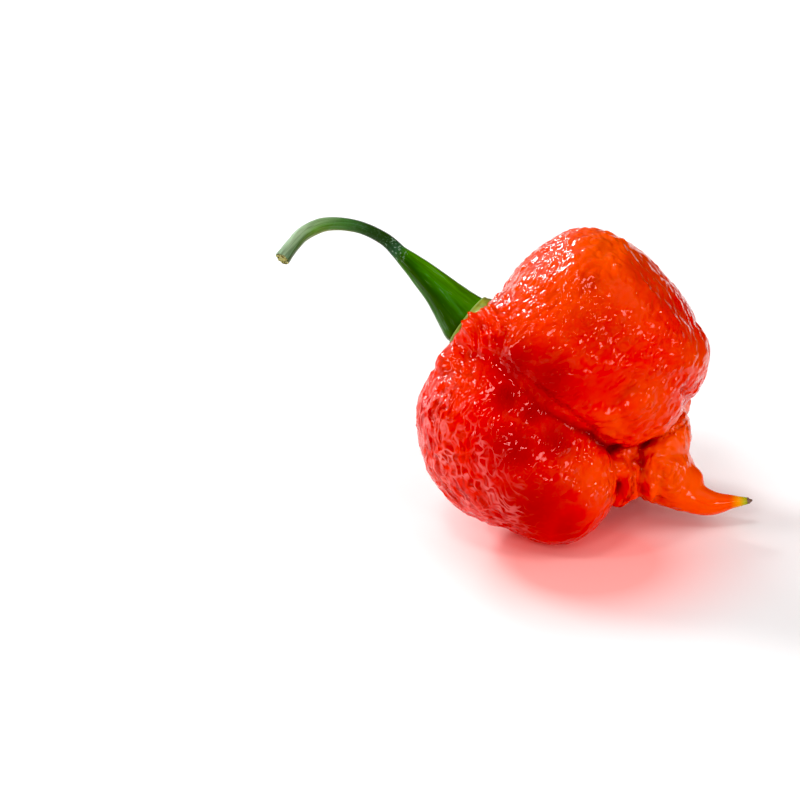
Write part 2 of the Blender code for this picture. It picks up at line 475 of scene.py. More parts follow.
def strokeNearness(picture, line, reach):
    # 1 on the drawn line, falling off over the reach, in pixels
    nearest = np.full(len(picture), 1e9)
    for start, end in zip(line, line[1:]):
        start = np.array(start, float)
        way = np.array(end, float) - start
        along = np.clip(((picture - start) @ way) / (way @ way), 0, 1)
        gap = np.linalg.norm(picture - start - along[:, None] * way, axis=1)
        nearest = np.minimum(nearest, gap)
    return np.exp(-(nearest / reach) ** 2)


def seenFromFront(points, normals):
    # 1 where the skin faces the camera and nothing nearer hides it
    picture, depth = picturePlaces(points)
    facing = softStep(-(normals @ viewAxes()[2]), -0.15, 0.2)
    square = 8  # pixels: the nearest skin is found in each such square of the picture
    squares = 100  # along each side
    columns = np.clip((picture / square).astype(int), 0, squares - 1)
    number = columns[:, 0] * squares + columns[:, 1]
    nearest = np.full(squares * squares, 1e9)
    np.minimum.at(nearest, number, depth)
    hidden = softStep(depth - nearest[number], 4.0, 8.0)  # mm behind the nearest skin
    return picture, facing * (1 - hidden)


def grainPlaces(points, part, whichPole, stretch):
    # across the rings in mm, then along them, pressed together by the stretch
    middle = np.array(part["middle"])
    pole = np.array(Vector(part[whichPole]).normalized())
    away = points - middle
    along = away @ pole
    length = np.linalg.norm(away, axis=1)
    angle = np.arccos(np.clip(along / length, -1, 1))
    aside = away - along[:, None] * pole
    side = np.array(Vector(pole).orthogonal().normalized())
    other = np.cross(pole, side)
    return np.stack((angle * part["radius"], (aside @ side) / stretch, (aside @ other) / stretch), axis=1)


def partShares(points):
    # how much each point belongs to each part of the pod
    gaps = np.stack([
        np.linalg.norm(points - np.array(part["middle"]), axis=1) / part["radius"]
        for part in podGrain.values()
    ])
    shares = np.exp(-skinElsewhere["partEdge"] * (gaps - gaps.min(axis=0)))
    return shares / shares.sum(axis=0)


def smoothedPlaces(obj, rounds):
    pickOnly(obj)
    bpy.ops.object.duplicate()
    twin = bpy.context.object
    applyModifier(twin, "SMOOTH", factor=0.8, iterations=rounds)
    points = readPoints(twin)
    bpy.data.objects.remove(twin)
    return points


def bigMoves(pod):
    # gentle swellings, and the strokes drawn over the picture
    points = readPoints(pod)
    normals = readNormals(pod)
    picture, front = seenFromFront(points, normals)
    moved = gentleRelief(points, "swelling") + gentleRelief(points, "smallSwelling")
    for line, halfWidth, depth in podStrokes.values():
        moved += strokeNearness(picture, line, halfWidth * camera["pixelsPerMm"]) * depth * front
    writePoints(pod, points + normals * moved[:, None])
    points = readPoints(pod)
    line, reach = softCrease
    soft = strokeNearness(picture, line, reach) * front
    rounds, share = podFolds["soft"]
    points += (smoothedPlaces(pod, rounds) - points) * share * soft[:, None]
    writePoints(pod, points)
    normals = readNormals(pod)
    found = {}
    for name in ("fold", "shade"):
        rounds, (shallow, deep) = podFolds[name]
        hollow = ((smoothedPlaces(pod, rounds) - points) * normals).sum(axis=1)
        found[name] = softStep(hollow, shallow, deep)
    pinch = podFolds["pinch"] * found["fold"] ** 3  # folds are pinched in deeper
    writePoints(pod, points - normals * pinch[:, None])
    # fold and shade are kept for the skin's colour: painted shade in folds and hollows
    writeAttributes(pod, found, {})


def skinKinds(points, normals):
    # how pebbled, netted and lumpy the skin is at each point
    picture, front = seenFromFront(points, normals)
    patches = grain(points, *skinElsewhere["patches"])
    kinds = {}
    for name, spots, patch in (
        ("pebbled", podPebbled, softStep(patches, -0.3, 0.5)),
        ("netted", podNetted, softStep(-patches, 0.0, 0.6)),
        ("lumpy", podLumpy, 1.0),
    ):
        frontLeast, backLeast, backMost = skinElsewhere[name]
        onFront = frontLeast + (1 - frontLeast) * spotShare(picture, spots)
        kinds[name] = front * onFront + (1 - front) * (backLeast + (backMost - backLeast) * patch)
    middle, reach, strength = frillLumps
    gap = np.linalg.norm(points - np.array(middle), axis=1)
    kinds["lumpy"] += strength * np.exp(-(gap / reach) ** 2)
    spanX, spanZ, smoother = podSizes["thinTail"]
    rough = 1 - smoother * softStep(points[:, 0], *spanX) * (1 - softStep(points[:, 2], *spanZ))
    return kinds["pebbled"] * rough, kinds["netted"] * rough, kinds["lumpy"] * rough, rough, front


def refineWrinkled(pod):
    # the finely wrinkled skin on the front gets four faces for one
    pebbled, netted, *others, front = skinKinds(readPoints(pod), readNormals(pod))
    fine = (np.maximum(pebbled, netted) * front > skinElsewhere["fineFrom"]).tolist()
    pickFaces(pod, [all(fine[corner] for corner in face.vertices) for face in pod.data.polygons])
    bpy.ops.mesh.subdivide(number_cuts=1)
    bpy.ops.object.mode_set(mode="OBJECT")


def fineMoves(pod):
    # pebbles, nets and lumps, each in the grain of its part of the pod
    points = readPoints(pod)
    normals = readNormals(pod)
    pebbled, netted, lumpy, rough, front = skinKinds(points, normals)
    picture = picturePlaces(points)[0]
    shares = partShares(points)
    best = shares.argmax(axis=0)
    pebblePlaces = np.zeros(points.shape)
    netPlaces = np.zeros(points.shape)
    for number, part in enumerate(podGrain.values()):
        chosen = best == number
        apart = skinElsewhere["partGap"] * number
        for places, pole, kind in (
            (pebblePlaces, "pebblePole", "pebbles"),
            (netPlaces, "netPole", "net"),
        ):
            places[chosen] = grainPlaces(points[chosen], part, pole, skinRelief[kind]["stretch"]) + apart
    relief = skinRelief["wander"]
    wander = np.stack([grain(points, relief["size"], shift) for shift in relief["shifts"]], axis=1)
    netPlaces += wander * skinRelief["net"]["wander"]
    seam = softStep(np.sort(shares, axis=0)[-1], 0.5, 0.75)  # grains fade out where two parts meet
    pebbles = cellRelief(pebblePlaces + wander * skinRelief["pebbles"]["wander"], "pebbles")
    net = cellRelief(netPlaces, "net")
    lumps = cellRelief(points + wander * skinRelief["lumps"]["wander"], "lumps")
    wrinkles = seam * (pebbled * pebbles + netted * net)
    plain = front * spotShare(picture, podSmooth)
    moved = wrinkles + lumpy * lumps + gentleRelief(points, "grain") * rough * (1 - 0.6 * plain)
    writePoints(pod, points + normals * moved[:, None])

    points = readPoints(pod)
    points[:, 2] = np.maximum(points[:, 2], 0.0)  # the pod rests on the floor
    writePoints(pod, points)
    towardsTail = softStep(points[:, 0], 10.0, 24.0) * (1 - softStep(points[:, 2], 12.0, 24.0))
    # more orange on the top: painted light, where the lamps above light it most
    towardsTop = 0.5 * softStep(points[:, 2], 28.0, 40.0)
    wrinkled = np.clip(np.maximum(pebbled, netted), 0, 1)
    tipStart, tipEnd = podSizes["tip"]
    # the pits and the deep spots carry painted shade; the warm share is partly painted light on the lit top
    # and right side
    writeAttributes(pod, {
        "pitShade": softStep(-wrinkles, 0.0, 0.12),
        "netted": np.clip(netted, 0, 1) * seam,
        "crinkled": seam * rough * (1 - 0.75 * wrinkled) * (1 - plain),
        "deep": front * spotShare(picture, podPaintedShade),
        "warmAndLit": np.maximum(towardsTail, towardsTop + front * spotShare(picture, podWarmAndLit)),
        "tip": np.clip((points[:, 0] - tipStart) / (tipEnd - tipStart), 0, 1),
    }, {"grain": pebblePlaces, "netGrain": netPlaces})


# Small helpers for materials
def newMaterial(name):
    material = bpy.data.materials.new(name)
    material.use_nodes = True
    tree = material.node_tree
    return material, tree, tree.nodes["Principled BSDF"]


def addNode(tree, kind, inputs=None, **settings):
    node = tree.nodes.new(kind)
    for name, value in settings.items():
        setattr(node, name, value)
    for name, value in (inputs or {}).items():
        if isinstance(value, bpy.types.NodeSocket):
            tree.links.new(value, node.inputs[name])
        else:
            node.inputs[name].default_value = value
    return node


def setSockets(shader, values):
    for name, value in values.items():
        shader.inputs[name].default_value = value


def objectPlaces(tree):
    return addNode(tree, "ShaderNodeTexCoord").outputs["Object"]


def painted(tree, name, output="Fac"):
    # what was written on the points: a value, or with "Vector" a place
    return addNode(tree, "ShaderNodeAttribute", attribute_name=name).outputs[output]


def noiseOver(tree, place, scale, detail):
    node = addNode(tree, "ShaderNodeTexNoise", {"Vector": place, "Scale": scale, "Detail": detail})
    return node.outputs["Fac"]


def cellsOver(tree, place, scale, feature="F1"):
    node = addNode(tree, "ShaderNodeTexVoronoi", {"Vector": place, "Scale": scale}, feature=feature)
    return node.outputs["Distance"]


def bumps(tree, height, strength, depth, under=None):
    # the depth is in metres, and the bumps under these are kept
    inputs = {"Strength": strength, "Distance": depth, "Height": height}
    if under is not None:
        inputs["Normal"] = under
    return addNode(tree, "ShaderNodeBump", inputs).outputs["Normal"]


def mixColours(tree, share, first, second):
    node = addNode(tree, "ShaderNodeMix", data_type="RGBA")
    for socket, value in ((node.inputs[0], share), (node.inputs[6], first), (node.inputs[7], second)):
        if isinstance(value, bpy.types.NodeSocket):
            tree.links.new(value, socket)
        else:
            socket.default_value = value
    return node.outputs[2]


def ramp(tree, value, stops):
    node = addNode(tree, "ShaderNodeValToRGB", {"Fac": value})
    stripes = node.color_ramp.elements
    while len(stripes) < len(stops):
        stripes.new(0.5)
    for stripe, (place, colour) in zip(stripes, stops):
        stripe.position = place
        stripe.color = (*colour, 1.0)
    return node.outputs["Color"]


def mapRange(tree, value, fromLow, fromHigh, toLow, toHigh):
    node = addNode(tree, "ShaderNodeMapRange", {
        "Value": value, "From Min": fromLow, "From Max": fromHigh, "To Min": toLow, "To Max": toHigh,
    })
    return node.outputs["Result"]


def calculate(tree, operation, first, second, **settings):
    return addNode(tree, "ShaderNodeMath", {0: first, 1: second}, operation=operation, **settings).outputs[0]


def both(tree, first, second):
    return calculate(tree, "MULTIPLY", first, second)


podFinish = {
    "red": (0.77, 0.014, 0.005, 1.0),
    "orange": (0.90, 0.090, 0.012, 1.0),
    # painted shade: the darker reds for hollows, folds, pits and the net's cells
    "paintedHollowShadeRed": (0.31, 0.004, 0.003, 1.0),
    "paintedDarkShadeRed": (0.20, 0.003, 0.002, 1.0),
    # painted highlight: the pale pink of light caught along the net's strands
    "paintedStrandHighlight": (0.95, 0.26, 0.24, 1.0),
    "tipStops": (
        (0.0, (0.86, 0.05, 0.003)),
        (0.2, (0.86, 0.12, 0.006)),
        (0.5, (0.84, 0.36, 0.02)),
        (0.72, (0.38, 0.42, 0.02)),
        (0.92, (0.20, 0.26, 0.03)),
    ),
    # noises over the skin: scale, detail
    "cloud": (130.0, 3.0),
    "strandGaps": (420.0, 1.0),
    "wear": (900.0, 2.0),
    "pores": (2600.0, 1.0),
    "crinkle": (0.9, 0.5),
    "netScale": 0.95,
    "pimpleScale": 0.8,
    # bumps: strength, depth in metres
    "crinkleBumps": (0.9, 0.0005),
    "pimpleBumps": (1.0, 0.0003),
    "strandBumps": (0.8, 0.00016),
    "poreBumps": (0.05, 0.00003),
    "roughness": (0.05, 0.09),
    "shader": {
        "IOR": 1.45,
        "Specular IOR Level": 0.5,
        "Specular Tint": (1.0, 0.45, 0.45, 1.0),
        "Subsurface Weight": 0.3,
        "Subsurface Radius": (1.0, 0.3, 0.12),
        "Subsurface Scale": 0.0014,
    },
}


def podSkinMaterial():
    finish = podFinish
    material, tree, shader = newMaterial("glossy red pod skin")
    place = objectPlaces(tree)
    blotch = mapRange(tree, noiseOver(tree, place, *finish["cloud"]), 0.4, 0.65, 0.0, 0.2)
    # more orange towards the tail, and as painted light on the lit top and right side
    warmthAndLight = calculate(tree, "ADD", painted(tree, "warmAndLit"), blotch, use_clamp=True)
    skin = mixColours(tree, warmthAndLight, finish["red"], finish["orange"])
    # painted shade: a deeper red on the hollows and low parts of the front
    skin = mixColours(tree, painted(tree, "deep"), skin, finish["paintedHollowShadeRed"])
    # painted shade: darker red in the wide hollows, the folds and the pits between wrinkles
    skin = mixColours(tree, painted(tree, "shade"), skin, finish["paintedDarkShadeRed"])
    fold = mapRange(tree, painted(tree, "fold"), 0.0, 1.0, 0.0, 0.75)
    skin = mixColours(tree, fold, skin, finish["paintedDarkShadeRed"])
    pitShade = mapRange(tree, painted(tree, "pitShade"), 0.2, 1.0, 0.0, 0.35)
    skin = mixColours(tree, pitShade, skin, finish["paintedDarkShadeRed"])
    netted = painted(tree, "netted")
    edgeGap = cellsOver(tree, painted(tree, "netGrain", "Vector"), finish["netScale"], "DISTANCE_TO_EDGE")
    # painted shade: the skin between the net's raised strands is coloured darker
    shadeBetweenStrands = both(tree, mapRange(tree, edgeGap, 0.08, 0.25, 0.0, 0.6), netted)
    skin = mixColours(tree, shadeBetweenStrands, skin, finish["paintedHollowShadeRed"])
    gaps = noiseOver(tree, place, *finish["strandGaps"])
    broken = both(tree, mapRange(tree, gaps, 0.40, 0.56, 0.0, 1.0), netted)
    # painted highlight along the net's strands, which also raise their bumps
    strand = both(tree, mapRange(tree, edgeGap, 0.04, 0.14, 1.0, 0.0), broken)
    skin = mixColours(tree, mapRange(tree, strand, 0.0, 1.0, 0.0, 0.7), skin, finish["paintedStrandHighlight"])
    tip = painted(tree, "tip")
    tipColour = ramp(tree, tip, finish["tipStops"])
    skin = mixColours(tree, mapRange(tree, tip, 0.0, 0.12, 0.0, 1.0), skin, tipColour)
    tree.links.new(skin, shader.inputs["Base Color"])
    wear = noiseOver(tree, place, *finish["wear"])
    tree.links.new(mapRange(tree, wear, 0.3, 0.7, *finish["roughness"]), shader.inputs["Roughness"])
    grainAt = painted(tree, "grain", "Vector")
    crinkled = painted(tree, "crinkled")
    crinkle = both(tree, noiseOver(tree, grainAt, *finish["crinkle"]), crinkled)
    pimpleAt = cellsOver(tree, grainAt, finish["pimpleScale"])
    pimples = both(tree, mapRange(tree, pimpleAt, 0.1, 0.5, 1.0, 0.0), crinkled)
    relief = bumps(tree, crinkle, *finish["crinkleBumps"])
    relief = bumps(tree, pimples, *finish["pimpleBumps"], under=relief)
    relief = bumps(tree, strand, *finish["strandBumps"], under=relief)
    pores = noiseOver(tree, place, *finish["pores"])
    relief = bumps(tree, pores, *finish["poreBumps"], under=relief)
    tree.links.new(relief, shader.inputs["Normal"])
    setSockets(shader, finish["shader"])
    return material


def finishPiece(piece, node, material):
    piece.data.transform(Matrix.Scale(mm, 4) @ Matrix.Translation(centring))
    piece.data.materials.clear()
    piece.data.materials.append(material)
    pickOnly(piece)
    bpy.ops.object.shade_smooth()
    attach(piece, "root")
    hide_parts(node)


def makePod():
    pod = roughPod()
    print("pod skin joined:", len(pod.data.vertices), "points")
    bigMoves(pod)
    refineWrinkled(pod)
    fineMoves(pod)
    finishPiece(pod, "pod", podSkinMaterial())
    triangles = sum(len(face.vertices) - 2 for face in pod.data.polygons)
    print("pod wrinkled and coloured:", triangles, "triangles")


makePod()

calyxSizes = {
    # half a section through the cup: distance from the axis, height along it
    "section": (
        (4.45, -2.1), (4.62, -1.6), (4.68, -1.2), (4.56, -0.85), (4.38, -0.55), (4.3, -0.3),
        (4.28, -0.05), (4.18, 0.06), (4.05, 0.0), (3.98, -0.25), (3.9, -0.7),
    ),
    "foot": (3.0, -3.0),
    "sides": 120,
    "teeth": 5,
    "flange": (4.25, 4.8),  # the edge waves from this far out, and fully from there
    "scallop": (0.10, 0.02),  # how far its teeth rise in mm, and stand out as a share
    "ripple": (0.22, 0.02),
    "lip": (-0.5, 0.07),  # the widest tooth hangs down
    "lipAt": (1.2, 0.3),  # the way round to its widest tooth and half its width, radians
}


def makeCalyx():
    # a disc drawn upright, pulled up ring by ring, then set on the pod
    deselectAll()
    footRadius, footHeight = calyxSizes["foot"]
    bpy.ops.mesh.primitive_circle_add(
        vertices=calyxSizes["sides"], radius=footRadius, fill_type="NGON", location=(0, 0, footHeight))
    cup = bpy.context.object
    cup.name = "calyxCup"
    bpy.ops.object.transform_apply(location=True, rotation=False, scale=False)
    bpy.ops.object.mode_set(mode="EDIT")
    bpy.ops.mesh.select_all(action="SELECT")
    bpy.ops.mesh.flip_normals()
    bpy.ops.mesh.extrude_region_move(TRANSFORM_OT_translate={"value": (0, 0, 0)})
    radius, height = footRadius, footHeight
    for nextRadius, nextHeight in calyxSizes["section"]:
        bpy.ops.transform.translate(value=(0, 0, nextHeight - height))
        size = nextRadius / radius
        bpy.ops.transform.resize(value=(size, size, 1), center_override=(0, 0, nextHeight))
        radius, height = nextRadius, nextHeight
        if (nextRadius, nextHeight) != calyxSizes["section"][-1]:
            bpy.ops.mesh.extrude_region_move(TRANSFORM_OT_translate={"value": (0, 0, 0)})
    bpy.ops.mesh.select_all(action="SELECT")
    bpy.ops.mesh.normals_make_consistent(inside=False)
    bpy.ops.object.mode_set(mode="OBJECT")
    applyModifier(cup, "SUBSURF", levels=1, render_levels=1)
    scallopRise, scallopOut = calyxSizes["scallop"]
    rippleRise, rippleOut = calyxSizes["ripple"]
    lipRise, lipOut = calyxSizes["lip"]
    lipAngle, lipWidth = calyxSizes["lipAt"]
    rim = []
    for point in cup.data.vertices:
        x, y, z = point.co
        out = math.hypot(x, y)
        angle = math.atan2(y, x)
        scallop = math.cos(calyxSizes["teeth"] * angle + 0.8)
        ripple = noise.noise((x * 0.9, y * 0.9, z * 0.9 + 3.0))
        flange = float(softStep(np.array(out), *calyxSizes["flange"]))
        lip = math.exp(-((angle - lipAngle) / lipWidth) ** 2)
        point.co.z += flange * (scallopRise * scallop + rippleRise * ripple + lipRise * lip)
        point.co.xy *= 1 + flange * (scallopOut * scallop + lipOut * lip) + rippleOut * ripple
        # painted highlight: a lighter yellow-green along the cup's upper edge
        rim.append(float(softStep(np.array(z), -0.35, -0.02) * softStep(np.array(out), 3.95, 4.1)))
    writeAttributes(cup, {"rim": np.array(rim)}, {})
    cup.data.transform(calyxFrame())
    finishPiece(cup, "calyx", calyxMaterial())
    print("calyx cup pulled up and set on the pod")


calyxFinish = {
    "olive": (0.24, 0.31, 0.022, 1.0),
    "brown": (0.10, 0.12, 0.008, 1.0),
    # painted highlight along the cup's upper edge
    "rim": (0.22, 0.34, 0.05, 1.0),
    "cloud": (700.0, 4.0),  # scale, detail
    "roughness": (0.35, 0.55),
    "bumps": (0.5, 0.0001),  # strength, depth in metres
    "shader": {
        "Subsurface Weight": 0.1,
        "Subsurface Radius": (0.5, 1.0, 0.2),
        "Subsurface Scale": 0.0008,
    },
}


def calyxMaterial():
    finish = calyxFinish
    material, tree, shader = newMaterial("olive calyx")
    cloud = noiseOver(tree, objectPlaces(tree), *finish["cloud"])
    brownShare = mapRange(tree, cloud, 0.4, 0.62, 0.0, 1.0)
    mottled = mixColours(tree, brownShare, finish["olive"], finish["brown"])
    colour = mixColours(tree, painted(tree, "rim"), mottled, finish["rim"])
    tree.links.new(colour, shader.inputs["Base Color"])
    tree.links.new(mapRange(tree, cloud, 0.3, 0.7, *finish["roughness"]), shader.inputs["Roughness"])
    tree.links.new(bumps(tree, cloud, *finish["bumps"]), shader.inputs["Normal"])
    setSockets(shader, finish["shader"])
    return material


makeCalyx()

stemSizes = {
    "foot": 3.9,  # radius
    "line": (
        ((-10.42, 2.70, 33.94), 2.60),
        ((-13.68, 4.59, 36.59), 1.80),
        ((-16.45, 5.45, 38.95), 1.18),
        ((-18.75, 6.30, 40.90), 0.96),
        ((-22.17, 7.30, 42.32), 0.88),
        ((-25.43, 7.80, 42.72), 0.95),
        ((-27.78, 7.40, 42.77), 1.02),
        ((-29.62, 6.40, 42.42), 1.06),
        ((-30.90, 5.10, 42.00), 1.04),
        ((-32.01, 3.40, 41.34), 1.00),
        ((-33.58, 1.25, 39.95), 1.05),
    ),
    "sink": 0.5,  # how far its foot goes down into the cup
    "sides": 72,
    # reliefs are shares of the radius
    "ribs": (5, 0.035),
    "furrows": ((1.0, 0.055), (2.6, 0.03)),  # fineness, relief
    "knobs": (25.0, 0.05),
    "waist": (-0.05, 0.40, 0.03),  # relief, place along the stem, reach
    "swelling": (0.10, 0.985, 0.02),
    "tear": (2.3, 0.22),  # fineness and height in mm of the torn cut
    "cutRings": ((0.93, 0.07), (0.87, -0.04), (0.84, -0.12), (0.79, -0.08), (0.68, 0.05), (0.6, 0.05)),
}


def tubeAlong(line, sides, name, firstWay=None):
    # an upright cylinder, cut into rings, with the way and sides of the line at each ring
    deselectAll()
    bpy.ops.mesh.primitive_cylinder_add(vertices=sides, radius=1.0, depth=1.0, location=(0, 0, 0.5))
    tube = bpy.context.object
    tube.name = name
    bpy.ops.object.transform_apply(location=True, rotation=False, scale=False)
    bpy.ops.object.mode_set(mode="EDIT")
    shape = bmesh.from_edit_mesh(tube.data)
    bpy.ops.mesh.select_all(action="DESELECT")
    for edge in shape.edges:
        edge.select_set(abs(edge.verts[0].co.z - edge.verts[1].co.z) > 0.5)
    bmesh.update_edit_mesh(tube.data)
    bpy.ops.mesh.subdivide(number_cuts=len(line) - 2)
    bpy.ops.object.mode_set(mode="OBJECT")
    places = [place for place, radius in line]
    ways = [(b - a).normalized() for a, b in zip(places, places[1:])]
    ways = [firstWay or ways[0]] + [(a + b).normalized() for a, b in zip(ways, ways[1:])] + [ways[-1]]
    side = ways[0].orthogonal().normalized()
    frames = []
    for way in ways:
        side = (side - way * side.dot(way)).normalized()
        frames.append((side.copy(), way.cross(side)))
    return tube, ways, frames


def ringPlace(point, line, frames):
    # the point's ring, its angle round the line and its way out from it
    index = round(point.co.z * (len(line) - 1))
    angle = math.atan2(point.co.y, point.co.x)
    side, other = frames[index]
    return index, angle, side * math.cos(angle) + other * math.sin(angle)


def hump(share, height, place, reach):
    return height * math.exp(-((share - place) / reach) ** 2)


def makeStem():
    footRadius = stemSizes["foot"]
    axis = calyxPlace["axis"]
    start = calyxPlace["middle"] + axis * 0.2
    line = smoothLine(((tuple(start), footRadius),) + stemSizes["line"], 10)
    line = [(start - axis * stemSizes["sink"], footRadius - 0.05)] + line
    tube, ways, frames = tubeAlong(line, stemSizes["sides"], "stemStalk", axis)
    ribs, ribRelief = stemSizes["ribs"]
    knobs, knobRelief = stemSizes["knobs"]
    along = []
    upper = []
    streaks = []
    length = [0.0]
    for (before, radius), (after, nextRadius) in zip(line, line[1:]):
        length.append(length[-1] + (after - before).length)
    for point in tube.data.vertices:
        index, angle, outwards = ringPlace(point, line, frames)
        place, radius = line[index]
        share = length[index] / length[-1]
        around = (math.cos(angle) * 2.4, math.sin(angle) * 2.4, length[index] * 0.12)
        relief = ribRelief * math.cos(ribs * angle + 2.0 * share)
        for fineness, furrow in stemSizes["furrows"]:
            relief += furrow * noise.noise(Vector(around) * fineness)
        relief += knobRelief * noise.noise((angle, share * knobs, 4.0)) * share
        relief += hump(share, *stemSizes["waist"]) + hump(share, *stemSizes["swelling"])
        point.co = place + outwards * radius * math.hypot(point.co.x, point.co.y) * (1 + relief)
        along.append(share)
        upper.append(outwards.z)
        streaks.append(around)
    values = {"along": np.array(along), "upper": np.array(upper)}
    writeAttributes(tube, values, {"streaks": np.array(streaks)})
    cutEnd(tube, ways[-1], line[-1][0])
    finishPiece(tube, "stem", stemMaterial())
    print("stem bent, ribbed and cut")


def cutEnd(tube, way, middle):
    # the picked end: a rim, then a torn hollow face
    cap = max(tube.data.polygons, key=lambda face: (len(face.vertices) > 4) * -face.center.x)
    capCorners = set(cap.vertices)
    capIndex = cap.index
    before = len(tube.data.vertices)
    pickFaces(tube, [face.index == capIndex for face in tube.data.polygons])
    for size, depth in stemSizes["cutRings"]:
        bpy.ops.mesh.extrude_region_move(TRANSFORM_OT_translate={"value": (0, 0, 0)})
        bpy.ops.transform.resize(value=(size, size, size), center_override=middle)
        bpy.ops.transform.translate(value=way * depth)
    bpy.ops.mesh.poke()
    bpy.ops.object.mode_set(mode="OBJECT")
    cut = np.zeros(len(tube.data.vertices))
    cut[before:] = 1.0
    writeAttributes(tube, {"cut": cut}, {})
    fineness, height = stemSizes["tear"]
    for point in tube.data.vertices:
        if point.index >= before or point.index in capCorners:
            point.co += way * height * noise.noise(point.co * fineness)


stemFinish = {
    # from the underside to the upper side of the cone: its own green with painted light and shade, darkest
    # in the middle band and lightest on the upper side
    "coneShadingStops": (
        (0.14, (0.10, 0.22, 0.07)),
        (0.24, (0.030, 0.15, 0.010)),
        (0.45, (0.003, 0.055, 0.002)),
        (0.62, (0.003, 0.062, 0.002)),
        (0.78, (0.018, 0.14, 0.004)),
        (0.95, (0.060, 0.25, 0.006)),
    ),
    # along the arch, from the cone to the cut end
    "archStops": (
        (0.36, (0.012, 0.10, 0.010)),
        (0.41, (0.015, 0.085, 0.045)),
        (0.46, (0.006, 0.045, 0.022)),
        (0.55, (0.007, 0.050, 0.020)),
        (0.62, (0.030, 0.12, 0.035)),
        (0.70, (0.060, 0.19, 0.040)),
        (0.80, (0.105, 0.27, 0.045)),
        (0.90, (0.085, 0.20, 0.065)),
        (0.98, (0.060, 0.14, 0.075)),
    ),
    # painted highlight on the arch's upper side
    "pale": (0.36, 0.48, 0.30, 1.0),
    "underside": (0.24, 0.28, 0.06, 1.0),
    "deep": (0.005, 0.045, 0.012, 1.0),
    "grey": (0.16, 0.27, 0.18, 1.0),
    "cutTan": (0.52, 0.48, 0.17, 1.0),
    "cutDark": (0.07, 0.07, 0.02, 1.0),
    # noises: scale, detail
    "streaks": (2.2, 4.0),
    "specks": (2800.0, 2.0),
    # bumps: strength, depth in metres
    "streakBumps": (0.6, 0.00012),
    "speckBumps": (0.3, 0.00005),
    "roughness": (0.32, 0.5),
    "shader": {
        "Specular IOR Level": 0.3,
        "Specular Tint": (0.35, 1.0, 0.5, 1.0),
        "Subsurface Weight": 0.08,
        "Subsurface Radius": (0.4, 1.0, 0.2),
        "Subsurface Scale": 0.0008,
    },
}


def stemMaterial():
    finish = stemFinish
    material, tree, shader = newMaterial("green ribbed stem")
    along = painted(tree, "along")
    upper = painted(tree, "upper")
    streak = noiseOver(tree, painted(tree, "streaks", "Vector"), *finish["streaks"])
    specks = noiseOver(tree, objectPlaces(tree), *finish["specks"])
    # painted light and shade: the cone's colour follows which way its skin faces
    coneShadedColour = ramp(tree, mapRange(tree, upper, -1.0, 1.0, 0.0, 1.0), finish["coneShadingStops"])
    archColour = ramp(tree, along, finish["archStops"])
    # painted highlight: the arch's upper side is made paler along its later part
    highlightAlong = mapRange(tree, along, 0.66, 0.84, 0.0, 0.8)
    paintedTopHighlight = both(tree, highlightAlong, mapRange(tree, upper, 0.25, 0.9, 0.0, 1.0))
    archColour = mixColours(tree, paintedTopHighlight, archColour, finish["pale"])
    lineAlong = mapRange(tree, along, 0.54, 0.64, 0.0, 0.8)
    line = both(tree, lineAlong, mapRange(tree, upper, -0.55, -0.8, 0.0, 1.0))
    archColour = mixColours(tree, line, archColour, finish["underside"])
    green = mixColours(tree, mapRange(tree, along, 0.36, 0.42, 0.0, 1.0), coneShadedColour, archColour)
    green = mixColours(tree, mapRange(tree, streak, 0.45, 0.65, 0.0, 0.5), green, finish["deep"])
    green = mixColours(tree, mapRange(tree, streak, 0.40, 0.28, 0.0, 0.35), green, finish["grey"])
    beforeWaist = mapRange(tree, along, 0.36, 0.39, 0.0, 1.0)
    nearWaist = both(tree, beforeWaist, mapRange(tree, along, 0.50, 0.44, 0.1, 1.0))
    speckShare = both(tree, mapRange(tree, specks, 0.57, 0.63, 0.0, 0.9), nearWaist)
    green = mixColours(tree, speckShare, green, finish["grey"])
    tanShare = mapRange(tree, specks, 0.42, 0.56, 0.0, 1.0)
    cutColour = mixColours(tree, tanShare, finish["cutDark"], finish["cutTan"])
    colour = mixColours(tree, painted(tree, "cut"), green, cutColour)
    tree.links.new(colour, shader.inputs["Base Color"])
    tree.links.new(mapRange(tree, streak, 0.3, 0.7, *finish["roughness"]), shader.inputs["Roughness"])
    relief = bumps(tree, streak, *finish["streakBumps"])
    relief = bumps(tree, specks, *finish["speckBumps"], under=relief)
    tree.links.new(relief, shader.inputs["Normal"])
    setSockets(shader, finish["shader"])
    return material


makeStem()

styleSizes = {
    "line": (
        ((34.2, -5.0, 4.1), 0.5),
        ((34.5, -5.0, 4.1), 0.42),
        ((34.7, -5.0, 4.14), 0.30),
        ((34.85, -5.0, 4.2), 0.2),
        ((34.98, -4.97, 4.3), 0.1),
    ),
    "sides": 24,
    "crumple": 0.35,  # share of the radius
}

styleFinish = {
    "stops": ((0.35, (0.05, 0.03, 0.02)), (0.65, (0.24, 0.17, 0.12))),
    "fibre": (4000.0, 3.0),  # scale, detail
    "bumps": (0.8, 0.00005),  # strength, depth in metres
    "shader": {"Roughness": 0.75},
}


def styleMaterial():
    material, tree, shader = newMaterial("dried brown style")
    fibre = noiseOver(tree, objectPlaces(tree), *styleFinish["fibre"])
    tree.links.new(ramp(tree, fibre, styleFinish["stops"]), shader.inputs["Base Color"])
    tree.links.new(bumps(tree, fibre, *styleFinish["bumps"]), shader.inputs["Normal"])
    setSockets(shader, styleFinish["shader"])
    return material


